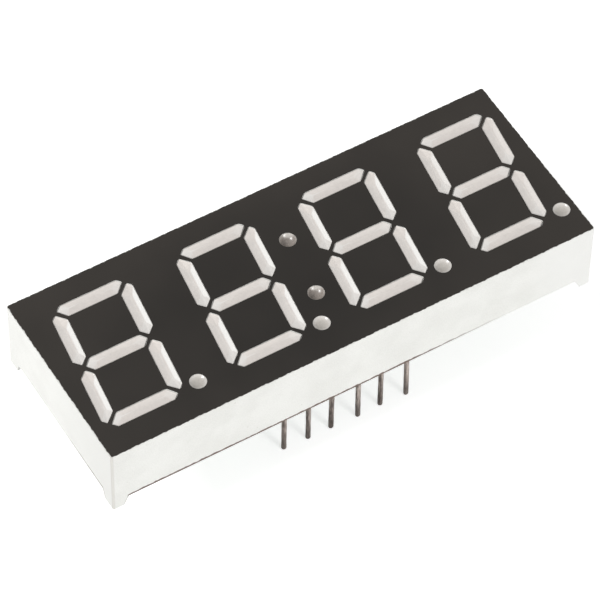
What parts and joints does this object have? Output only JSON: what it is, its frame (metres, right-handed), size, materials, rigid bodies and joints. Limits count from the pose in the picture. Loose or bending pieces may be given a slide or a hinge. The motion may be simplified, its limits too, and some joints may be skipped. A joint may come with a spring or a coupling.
{
  "type": "seven segment display module",
  "caption": "White moulded numeric LED display with a dark printed face, slanted seven-segment digits with decimal points, a colon between them, corner feet and two rows of round solder pins.",
  "frame": {"origin": "centre of the plane under the four corner feet, in the middle of both rows of pins", "axes": "+X along the row of digits in reading direction, +Y towards the tops of the digits, +Z out of the printed face; the pins point to -Z"},
  "size_m": [0.0502, 0.0192, 0.0145],
  "materials": {
    "white_moulding": "satin white moulded plastic",
    "face_print": "matt charcoal print",
    "clear_epoxy": "clear, slightly milky casting resin",
    "board": "green solder mask over glass-epoxy board",
    "copper": "masked and plated copper",
    "solder": "bright tin solder",
    "tinned_pin": "dull tin-dipped wire",
    "silver_epoxy": "silver-filled epoxy",
    "led_chip": "polished semiconductor",
    "bond_wire": "gold"
  },
  "bodies": {
    "root": {"reflector_housing": "white_moulding", "face_ink": "face_print", "epoxy_fill": "clear_epoxy", "circuit_board": "board", "front_copper": "copper", "back_copper": "copper", "solder_joints": "solder", "die_attach": "silver_epoxy", "bond_wires": "bond_wire", "pin_1": "tinned_pin", "pin_2": "tinned_pin", "pin_3": "tinned_pin", "pin_4": "tinned_pin", "pin_5": "tinned_pin", "pin_6": "tinned_pin", "pin_7": "tinned_pin", "pin_8": "tinned_pin", "pin_9": "tinned_pin", "pin_10": "tinned_pin", "pin_11": "tinned_pin", "pin_12": "tinned_pin", "digit_1_chip_a": "led_chip", "digit_1_chip_b": "led_chip", "digit_1_chip_c": "led_chip", "digit_1_chip_d": "led_chip", "digit_1_chip_e": "led_chip", "digit_1_chip_f": "led_chip", "digit_1_chip_g": "led_chip", "digit_1_chip_dp": "led_chip", "digit_2_chip_a": "led_chip", "digit_2_chip_b": "led_chip", "digit_2_chip_c": "led_chip", "digit_2_chip_d": "led_chip", "digit_2_chip_e": "led_chip", "digit_2_chip_f": "led_chip", "digit_2_chip_g": "led_chip", "digit_2_chip_dp": "led_chip", "digit_3_chip_a": "led_chip", "digit_3_chip_b": "led_chip", "digit_3_chip_c": "led_chip", "digit_3_chip_d": "led_chip", "digit_3_chip_e": "led_chip", "digit_3_chip_f": "led_chip", "digit_3_chip_g": "led_chip", "digit_3_chip_dp": "led_chip", "digit_4_chip_a": "led_chip", "digit_4_chip_b": "led_chip", "digit_4_chip_c": "led_chip", "digit_4_chip_d": "led_chip", "digit_4_chip_e": "led_chip", "digit_4_chip_f": "led_chip", "digit_4_chip_g": "led_chip", "digit_4_chip_dp": "led_chip", "colon_chip_upper": "led_chip", "colon_chip_lower": "led_chip"}
  },
  "joints": []
}
